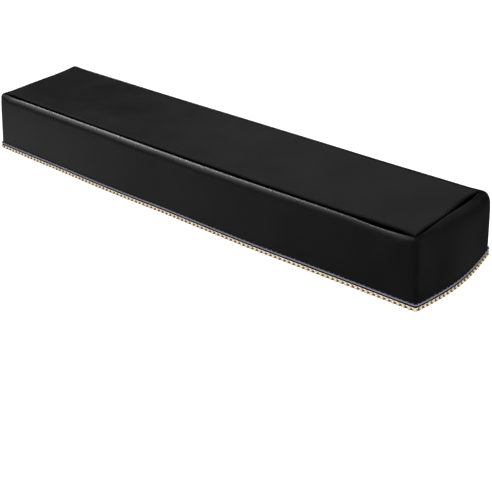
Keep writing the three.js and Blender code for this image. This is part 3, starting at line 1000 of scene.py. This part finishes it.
def lobed_tree():
    """A cord of plump lobes along a closed line, each wound with yarn and drawn in at its ends."""
    tree, given = new_tree(
        "lobed_cord", whole=("Lobes", "Steps", "Sides"),
        real=("Bulge Radius", "Waist Radius", "Fullness", "Turns", "Ridge", "Line Length"),
    )
    curve = even_curve(tree, given["Geometry"], times(tree, given["Lobes"], given["Steps"]))
    factor = add_node(tree, "GeometryNodeSplineParameter").outputs["Factor"]
    lobe = times(tree, factor, given["Lobes"])
    plump = maths(tree, "POWER", humps(tree, lobe), given["Fullness"])
    extra = maths(tree, "SUBTRACT", given["Bulge Radius"], given["Waist Radius"])
    radius = maths(tree, "ADD", times(tree, plump, extra), given["Waist Radius"])
    # Painted shade: the lobes' drawn-in waists are marked hollow, to be darkened
    curve = store(tree, curve, "hollow", maths(tree, "SUBTRACT", 1.0, plump))
    curve = store(tree, curve, "along", times(tree, factor, given["Line Length"]))
    curve = store(tree, curve, "lobe", lobe)
    tube, parts = tube_along(tree, curve, given["Sides"], 1.0, radius)
    wound = maths(tree, "ADD", times(tree, stored(tree, "lobe"), given["Turns"]), turn_round(tree, parts))
    height = times(tree, maths(tree, "SUBTRACT", humps(tree, wound), 1.0), given["Ridge"])
    end_tree(tree, given, moved(tree, tube, scaled(tree, normal_way(tree), height)))
    return tree


def row_tree():
    """Small rounded lengths set at even steps along a closed line, each leaning from it by an angle."""
    tree, given = new_tree("row_of_lengths", whole=("Count",), real=("Length", "Width", "Lean", "Uneven"))
    inputs = {"Curve": as_curve(tree, given["Geometry"]), "Count": given["Count"]}
    points = add_node(tree, "GeometryNodeCurveToPoints", {"mode": "COUNT"}, inputs)
    inputs = {"Segments": BEAD_SIDES, "Rings": BEAD_RINGS, "Radius": 0.5}
    bead = add_node(tree, "GeometryNodeMeshUVSphere", {}, inputs).outputs[0]
    bead = store(tree, bead, "strand", point_place(tree), "FLOAT_VECTOR")
    bead = store(tree, bead, "hollow", 0.0)
    inputs = {"Min": times(tree, given["Uneven"], -1.0), "Max": given["Uneven"], "Seed": WANDER_SEED}
    wander = add_node(tree, "FunctionNodeRandomValue", {"data_type": "FLOAT"}, inputs).outputs[1]
    lean = combined(tree, x=maths(tree, "ADD", given["Lean"], wander))
    inputs = {0: points.outputs["Rotation"], 1: lean}
    turned = add_node(tree, "FunctionNodeRotateRotation", {"rotation_space": "LOCAL"}, inputs).outputs[0]
    size = combined(tree, given["Width"], given["Width"], given["Length"])
    inputs = {"Points": points.outputs["Points"], "Instance": bead, "Rotation": turned, "Scale": size}
    end_tree(tree, given, add_node(tree, "GeometryNodeInstanceOnPoints", {}, inputs).outputs[0])
    return tree


def read_values(data, key, count, parts):
    values = np.zeros(count * parts, np.float32)
    data.foreach_get(key, values)
    return values.reshape(count, parts)


def joined(name, meshes):
    """Several meshes as one, with the values that their material reads."""
    points, faces, strand, hollow = [], [], [], []
    start = 0
    for mesh in meshes:
        count = len(mesh.vertices)
        points.append(read_values(mesh.vertices, "co", count, 3))
        strand.append(read_values(mesh.attributes["strand"].data, "vector", count, 3))
        hollow.append(read_values(mesh.attributes["hollow"].data, "value", count, 1))
        faces.extend([[start + corner for corner in polygon.vertices] for polygon in mesh.polygons])
        start += count
        bpy.data.meshes.remove(mesh)
    whole = bpy.data.meshes.new(name)
    whole.from_pydata(np.concatenate(points).tolist(), [], faces)
    keep_values(whole, "strand", "FLOAT_VECTOR", "vector", np.concatenate(strand))
    keep_values(whole, "hollow", "FLOAT", "value", np.concatenate(hollow))
    smooth_faces(whole)
    return whole


# Lines round the cover


def outward(line):
    """The level way out from the cover at each point of a closed line round it."""
    ahead = np.roll(line, -1, axis=0) - np.roll(line, 1, axis=0)
    out = np.stack([ahead[:, 1], -ahead[:, 0], np.zeros(len(line))], -1)
    return out / np.linalg.norm(out, axis=1, keepdims=True)


def hem_line(place, stand_off, rise=0.0):
    """The closed line round the cover at a place on the walls, moved outwards and up, with its way out."""
    rings = []
    for index in range(len(SIDES)):
        share = side_shares(index)[1:]
        rings.append(side_point(index, share, wall_drop(index, share, place), 0, 0))
    line = np.concatenate(rings)
    out = outward(line)
    shifted = line + out * stand_off
    shifted[:, 2] += rise
    return shifted, out


def line_length(line):
    return float(np.linalg.norm(np.roll(line, -1, axis=0) - line, axis=1).sum())


def swept_mesh(name, corners, closed):
    """A tube from sections that follow one another. corners is sections by profile points by 3."""
    sections, sides = corners.shape[:2]
    index = np.arange(sections * sides).reshape(sections, sides)
    here = index if closed else index[:-1]
    there = np.roll(index, -1, axis=0) if closed else index[1:]
    faces = np.stack([here, there, np.roll(there, -1, axis=1), np.roll(here, -1, axis=1)], -1)
    faces = faces.reshape(-1, 4).tolist()
    if not closed:
        faces.append(index[0].tolist())
        faces.append(index[-1][::-1].tolist())
    along, around = travelled(corners[:, 0])[:, None], travelled(corners[0])[None, :]
    return mesh_with_uv(name, corners.reshape(-1, 3), faces, along, around)


# What a user may change


def length_setting(name, description, default, least=0.0):
    return FloatProperty(name=name, description=description, default=default, min=least, unit="LENGTH")


def number_setting(name, description, default, least=0.0):
    return FloatProperty(name=name, description=description, default=default, min=least)


def share_setting(name, description, default):
    return FloatProperty(name=name, description=description, default=default, min=0, max=1, subtype="FACTOR")


def colour_setting(name, description, default):
    return FloatVectorProperty(name=name, description=description, default=default, subtype="COLOR")


def count_setting(name, description, default, least):
    return IntProperty(name=name, description=description, default=default, min=least)


class CoverShape(bpy.types.PropertyGroup):
    """Sizes of the cloth's fine form"""

    cloth: length_setting("Cloth", "Thickness of one layer of cloth", 0.001, 0.0005)
    seam_edge: length_setting("Seam Edge", "Radius to which the cloth turns into the top seam", 0.001, 0.0003)
    upright_edge: length_setting(
        "Upright Edge", "Radius to which the cloth turns into the upright seams", 0.0009, 0.0003
    )
    seam_room: length_setting("Seam Room", "Space between the cloth's edge and the seam's middle", 0.0001)
    allowance: length_setting("Seam Allowance", "Width of cloth inside the seams", 0.009, 0.002)
    hem_room: length_setting("Hem Room", "Space inside the turned hem", 0.0002)
    turn_up: length_setting("Turn Up", "Height of the turned hem inside", 0.018, 0.004)
    unevenness: length_setting("Unevenness", "Height of the cloth's soft ripples", 0.0003)
    ripple_length: length_setting("Ripple Length", "Length of the cloth's soft ripples", 0.16, 0.02)


class CoverTrim(bpy.types.PropertyGroup):
    """Sizes of the trim's yarn, stitches and knots"""

    cord_steps: count_setting("Cord Steps", "Sections to each lobe of the gold cord", 20, 8)
    cord_sides: count_setting("Cord Sides", "Sides of the gold cord", 14, 8)
    cord_turns: number_setting("Cord Turns", "Turns of yarn round each lobe of the gold cord", 5.0, 1.0)
    cord_ridge: length_setting("Cord Ridge", "Depth between the turns of yarn", 0.0003)
    braid_strand: length_setting(
        "Braid Strand", "Radius of each of the silver braid's three strands", 0.00065, 0.0002
    )
    braid_pitch: length_setting(
        "Braid Pitch", "Length in which a strand crosses the braid and back", 0.0085, 0.002
    )
    stitch_pitch: length_setting("Stitch Pitch", "Length of a stitch with its gap", 0.004, 0.001)
    thread: length_setting("Thread", "Thickness of the sewing thread", 0.0006, 0.0002)
    knot_height: length_setting("Knot Height", "Height of the silver knots over the lobes", 0.0036, 0.0005)


class CoverFinish(bpy.types.PropertyGroup):
    """Colours and lustre"""

    cloth_colour: colour_setting("Cloth", "Colour of the black cloth", (0.0054, 0.0054, 0.0056))
    cloth_roughness: share_setting("Cloth Roughness", "How dull the cloth is", 0.36)
    cloth_gloss: share_setting("Cloth Gloss", "Strength of the cloth's reflections", 0.3)
    cloth_sheen: share_setting("Cloth Sheen", "Strength of the cloth's soft sheen", 0.0)
    rib_pitch: length_setting("Rib Pitch", "Width of one rib of the knit", 0.0009, 0.0003)
    band_colour: colour_setting("Band", "Colour of the trim's band", (0.004, 0.004, 0.0045))
    gold_colour: colour_setting("Gold", "Colour of the gold yarn", (0.86, 0.67, 0.43))
    # The shadow colours are painted shadow, laid on the yarn in the cord's waists and the braid's dips
    gold_shadow: colour_setting("Gold Shadow", "Colour of the gold yarn between lobes", (0.11, 0.055, 0.018))
    silver_colour: colour_setting("Silver", "Colour of the silver yarn", (0.38, 0.38, 0.47))
    silver_shadow: colour_setting("Silver Shadow", "Colour of the silver yarn in dips", (0.15, 0.15, 0.21))


class CoverStage(bpy.types.PropertyGroup):
    """Floor and light"""

    floor_drop: length_setting("Floor Drop", "How far the floor lies below the top of the cover", 1.5, 0.3)
    floor_colour: colour_setting("Floor", "Colour of the floor", (0.96, 0.96, 0.96))
    sky: number_setting("Sky", "Strength of the light from all round", 1.2)
    ground: number_setting("Ground", "Strength of the light from below", 0.15)
    light: number_setting("Light", "Strength of the studio lights", 1.0)


class KeyboardCover(bpy.types.PropertyGroup):
    """All settings of the cover"""

    shape: PointerProperty(type=CoverShape)
    trim: PointerProperty(type=CoverTrim)
    finish: PointerProperty(type=CoverFinish)
    stage: PointerProperty(type=CoverStage)


def settings():
    return bpy.context.scene.keyboard_cover


# Pieces


def cloth_piece(mesh, *nodes):
    """Adds a piece of the black cloth, whose material is made once for all of them."""
    made = bpy.data.materials.get("black_stretch_cloth")
    return add_piece(mesh, made or black_cloth_material(settings().finish), "black_cloth", *nodes)


def shared_silver():
    """The silver yarn's material, made once for the braid and its knots."""
    name = "silver_metallic_yarn"
    finish = settings().finish
    light, dark = finish.silver_colour, finish.silver_shadow
    return bpy.data.materials.get(name) or yarn_material(name, light, dark, metallic=0.1, roughness=0.4)


class COVER_OT_top_panel(bpy.types.Operator):
    """Make the top panel: one oblong of cloth, its edge drawn down into the seam"""

    bl_idname = "cover.top_panel"
    bl_label = "Top Panel"

    def execute(self, context):
        shape = settings().shape
        a, b = top_places(shape)
        mesh = shell_mesh("top_cloth", top_grid(a, b, shape), shape.cloth, margin_shade(a, b))
        piece = cloth_piece(mesh, "top_panel")
        check_place(piece, "top_panel")
        return {"FINISHED"}


class COVER_OT_side_panels(bpy.types.Operator):
    """Make the four side panels, rolled over the top edge and turned up at the hem"""

    bl_idname = "cover.side_panels"
    bl_label = "Side Panels"

    def execute(self, context):
        shape = settings().shape
        for index, side in enumerate(SIDES):
            grid = side_grid(index, shape)
            name = side.node.replace("_panel", "_cloth")
            mesh = shell_mesh(name, grid, shape.cloth, side_shade(index, grid, shape))
            piece = cloth_piece(mesh, side.node)
            check_place(piece, side.node)
        return {"FINISHED"}


def allowance_mesh(name, line, across, inward, shape, closed):
    """Two raw edges of cloth that lie together along a seam's line, a little wavy."""
    section = np.array(RAW_EDGE_SECTION) * (shape.cloth, shape.allowance)
    wave = RAW_EDGE_WAVE * shape.cloth
    for length in RAW_EDGE_WAVE_LENGTHS:
        wave = wave * np.sin(TAU * travelled(line) / length)
    lean = wave[:, None, None] * (-section[None, :, 1:] / shape.allowance)
    corners = line[:, None] + across[:, None] * (section[None, :, :1] + lean)
    corners = corners - inward[:, None] * section[None, :, 1:]
    return swept_mesh(name, corners, closed)


def corner_seam(index, shape):
    """The upright seam at the end of a side: its points, the way across it and the way in."""
    drops = np.linspace(ROLL_RADIUS, CLOTH_DROP - RAW_EDGE_END, RAW_EDGE_STEPS)
    line = side_point(index, np.ones(1), drops[:, None], 0, 0)[:, 0]
    turn = (index + 0.5) * HALF_TURN
    inward = np.array((-math.sin(turn), math.cos(turn), 0.0))
    across = np.array((math.cos(turn), math.sin(turn), 0.0))
    line = line + inward * (RAW_EDGE_IN * shape.upright_edge)
    count = len(line)
    return line, np.tile(across, (count, 1)), np.tile(inward, (count, 1))


class COVER_OT_seam_allowances(bpy.types.Operator):
    """Make the raw edges of cloth inside the top seam and the upright seams"""

    bl_idname = "cover.seam_allowances"
    bl_label = "Seam Allowances"

    def execute(self, context):
        shape = settings().shape
        rings = [seam_point(index, side_shares(index)[1:], 0) for index in range(len(SIDES))]
        line = np.concatenate(rings)
        line[:, 2] -= shape.seam_edge + RAW_EDGE_BELOW * shape.cloth
        across = outward(line)
        inward = np.tile(np.array((0, 0, -1.0)), (len(line), 1))
        mesh = allowance_mesh("top_seam_allowance", line, across, inward, shape, closed=True)
        piece = cloth_piece(mesh)
        for index in range(len(SIDES)):
            line, across, inward = corner_seam(index, shape)
            mesh = allowance_mesh(f"upright_allowance_{index + 1}", line, across, inward, shape, closed=False)
            piece = cloth_piece(mesh)
        return {"FINISHED"}


class COVER_OT_trim_band(bpy.types.Operator):
    """Make the black ribbed band that carries the braid and the cord"""

    bl_idname = "cover.trim_band"
    bl_label = "Trim Band"

    def execute(self, context):
        upper, out = hem_line(BAND_PLACE, GAP)
        lower = hem_line(HEM_PLACE, GAP)[0]
        full = BAND_THICKNESS
        rounded = full - BAND_EDGE
        profile = np.array([
            (0, 1), (0, 0), (rounded, 0), (full, BAND_BEVEL), (full, 1 - BAND_BEVEL), (rounded, 1),
        ])
        corners = lower[:, None] + (upper - lower)[:, None] * profile[None, :, 1:]
        corners = corners + out[:, None] * profile[None, :, :1]
        mesh = swept_mesh("trim_band_ribbed", corners, closed=True)
        piece = add_piece(mesh, band_material(settings().finish), "black_band", "trim_band")
        check_place(piece, "trim_band")
        return {"FINISHED"}


def braid_stand_off(trim):
    """How far out from the cloth the middle of the braid lies, on the band."""
    return 2 * GAP + BAND_THICKNESS + 2 * trim.braid_strand


class COVER_OT_silver_braid(bpy.types.Operator):
    """Plait three strands of silver yarn along the band's upper edge"""

    bl_idname = "cover.silver_braid"
    bl_label = "Silver Braid"

    def execute(self, context):
        trim = settings().trim
        material = shared_silver()
        tree = strand_tree()
        line = hem_line((BAND_PLACE + BRAID_PLACE) / 2, braid_stand_off(trim))[0]
        length = line_length(line)
        turns = round(length / trim.braid_pitch)
        strands = []
        for number in range(BRAID_STRANDS):
            values = {
                "Steps": turns * BRAID_STEPS, "Turns": turns, "Sides": STRAND_SIDES,
                "Phase": number * TAU / BRAID_STRANDS, "Crossings": BRAID_CROSSINGS,
                "Strand Radius": trim.braid_strand, "Out Reach": trim.braid_strand,
                "Up Reach": BRAID_HEIGHT / 2 - trim.braid_strand, "Line Length": length,
            }
            strands.append(grown_mesh(f"braid_strand_{number}", line, tree, material, values))
        add_piece(joined("silver_braid_plaited", strands), material, "silver_yarn", "silver_braid")
        return {"FINISHED"}


class COVER_OT_trim_stitches(bpy.types.Operator):
    """Sew the band on with small black stitches, and the braid with a silver knot over every lobe"""

    bl_idname = "cover.trim_stitches"
    bl_label = "Trim Stitches"

    def execute(self, context):
        trim = settings().trim
        tree = row_tree()
        line = hem_line(STITCH_PLACE, GAP + BAND_THICKNESS)[0]
        material = thread_material()
        values = {
            "Count": round(line_length(line) / trim.stitch_pitch), "Length": STITCH_SHARE * trim.stitch_pitch,
            "Width": trim.thread, "Lean": 0.0, "Uneven": STITCH_WANDER,
        }
        add_piece(grown_mesh("trim_stitches", line, tree, material, values), material, "black_band")
        line = hem_line(BAND_PLACE, braid_stand_off(trim), KNOT_RISE)[0]
        material = shared_silver()
        values = {
            "Count": round(line_length(line) / LOBE_PITCH), "Length": trim.knot_height,
            "Width": 2 * trim.braid_strand, "Lean": HALF_TURN, "Uneven": KNOT_WANDER,
        }
        add_piece(grown_mesh("silver_knots", line, tree, material, values), material, "silver_yarn")
        return {"FINISHED"}


class COVER_OT_gold_cord(bpy.types.Operator):
    """Make the gold cord below the hem: plump lobes wound with yarn and drawn in between"""

    bl_idname = "cover.gold_cord"
    bl_label = "Gold Cord"

    def execute(self, context):
        trim = settings().trim
        finish = settings().finish
        line = hem_line(HEM_PLACE, CORD_OUT, -CORD_RADIUS - GAP)[0]
        length = line_length(line)
        values = {
            "Lobes": round(length / LOBE_PITCH), "Steps": trim.cord_steps, "Sides": trim.cord_sides,
            "Bulge Radius": CORD_RADIUS, "Waist Radius": CORD_WAIST, "Fullness": CORD_FULLNESS,
            "Turns": trim.cord_turns, "Ridge": trim.cord_ridge, "Line Length": length,
        }
        name = "gold_metallic_yarn"
        material = yarn_material(name, finish.gold_colour, finish.gold_shadow, metallic=0.0, roughness=0.5)
        mesh = grown_mesh("gold_cord_lobed", line, lobed_tree(), material, values)
        piece = add_piece(mesh, material, "gold_yarn", "gold_cord")
        check_place(piece, "gold_cord")
        return {"FINISHED"}


class COVER_OT_stage(bpy.types.Operator):
    """Set up the pale floor, the soft light and the camera"""

    bl_idname = "cover.stage"
    bl_label = "Stage"

    def execute(self, context):
        add_floor(context)
        add_sky(context)
        for lamp in LAMPS:
            add_lamp(context, lamp)
        add_camera(context)
        context.scene.view_settings.view_transform = "Standard"
        return {"FINISHED"}


def add_floor(context):
    stage = settings().stage
    square = ((-1, -1), (1, -1), (1, 1), (-1, 1))
    corners = [(x * FLOOR_HALF, y * FLOOR_HALF, -stage.floor_drop) for x, y in square]
    mesh = bpy.data.meshes.new("floor")
    mesh.from_pydata(corners, [], [(0, 1, 2, 3)])
    mesh.materials.append(floor_material(stage.floor_colour))
    floor = bpy.data.objects.new("floor", mesh)
    context.scene.collection.objects.link(floor)
    floor.visible_glossy = False
    floor.visible_diffuse = False


def add_sky(context):
    world = bpy.data.worlds.new("pale_sky")
    world.use_nodes = True
    stage = settings().stage
    tree = world.node_tree
    background = tree.nodes["Background"]
    aimed = add_node(tree, "ShaderNodeTexCoord").outputs["Generated"]
    height = split(tree, aimed).outputs["Z"]
    strength = spread(tree, height, stage.ground, stage.sky, start=-HORIZON_BLUR, end=HORIZON_BLUR)
    set_inputs(tree, background, {"Color": opaque((1, 1, 1)), "Strength": strength})
    world.cycles_visibility.glossy = False
    context.scene.world = world


def add_lamp(context, lamp):
    data = bpy.data.lights.new(lamp.name, "AREA")
    data.shape = "RECTANGLE"
    data.size, data.size_y = lamp.wide, lamp.high
    data.energy = lamp.power * settings().stage.light
    light = bpy.data.objects.new(lamp.name, data)
    context.scene.collection.objects.link(light)
    light.location = lamp.place
    light.rotation_mode = "QUATERNION"
    light.rotation_quaternion = (Vector(lamp.aim) - Vector(lamp.place)).to_track_quat("-Z", "Y")
    light.visible_diffuse = lamp.matt
    light.visible_glossy = lamp.gloss
    light.visible_camera = False


def add_camera(context):
    ahead = Vector((
        -math.sin(CAMERA_AZIMUTH) * math.cos(CAMERA_ELEVATION),
        math.cos(CAMERA_AZIMUTH) * math.cos(CAMERA_ELEVATION),
        -math.sin(CAMERA_ELEVATION),
    ))
    level = Vector((math.cos(CAMERA_AZIMUTH), math.sin(CAMERA_AZIMUTH), 0))
    above = level.cross(ahead)
    right = level * math.cos(CAMERA_ROLL) + above * math.sin(CAMERA_ROLL)
    upward = right.cross(ahead)
    data = bpy.data.cameras.new("camera")
    data.lens = FOCAL_LENGTH
    data.sensor_width = SENSOR_WIDTH
    camera = bpy.data.objects.new("camera", data)
    context.scene.collection.objects.link(camera)
    turned = Matrix((right, upward, -ahead)).transposed().to_4x4()
    camera.matrix_world = Matrix.Translation(CAMERA_PLACE) @ turned
    context.scene.camera = camera


OPERATORS = (
    COVER_OT_top_panel, COVER_OT_seam_allowances, COVER_OT_trim_band, COVER_OT_silver_braid,
    COVER_OT_trim_stitches, COVER_OT_gold_cord, COVER_OT_side_panels, COVER_OT_stage,
)


class COVER_PT_sidebar(bpy.types.Panel):
    """The cover's pieces and settings"""

    bl_idname = "COVER_PT_sidebar"
    bl_label = "Keyboard Cover"
    bl_space_type = "VIEW_3D"
    bl_region_type = "UI"
    bl_category = "Cover"

    def draw(self, context):
        for operator in OPERATORS:
            self.layout.operator(operator.bl_idname)
        for group in (settings().shape, settings().trim, settings().finish, settings().stage):
            box = self.layout.box()
            for label in group.bl_rna.properties.keys():
                if label not in ("rna_type", "name"):
                    box.prop(group, label)


CLASSES = (CoverShape, CoverTrim, CoverFinish, CoverStage, KeyboardCover, *OPERATORS, COVER_PT_sidebar)


def register():
    for made in CLASSES:
        bpy.utils.register_class(made)
    bpy.types.Scene.keyboard_cover = PointerProperty(type=KeyboardCover)


def unregister():
    del bpy.types.Scene.keyboard_cover
    for made in reversed(CLASSES):
        bpy.utils.unregister_class(made)


def main():
    register()
    for operator in OPERATORS:
        group, name = operator.bl_idname.split(".")
        getattr(getattr(bpy.ops, group), name)()


if __name__ == "__main__":
    main()
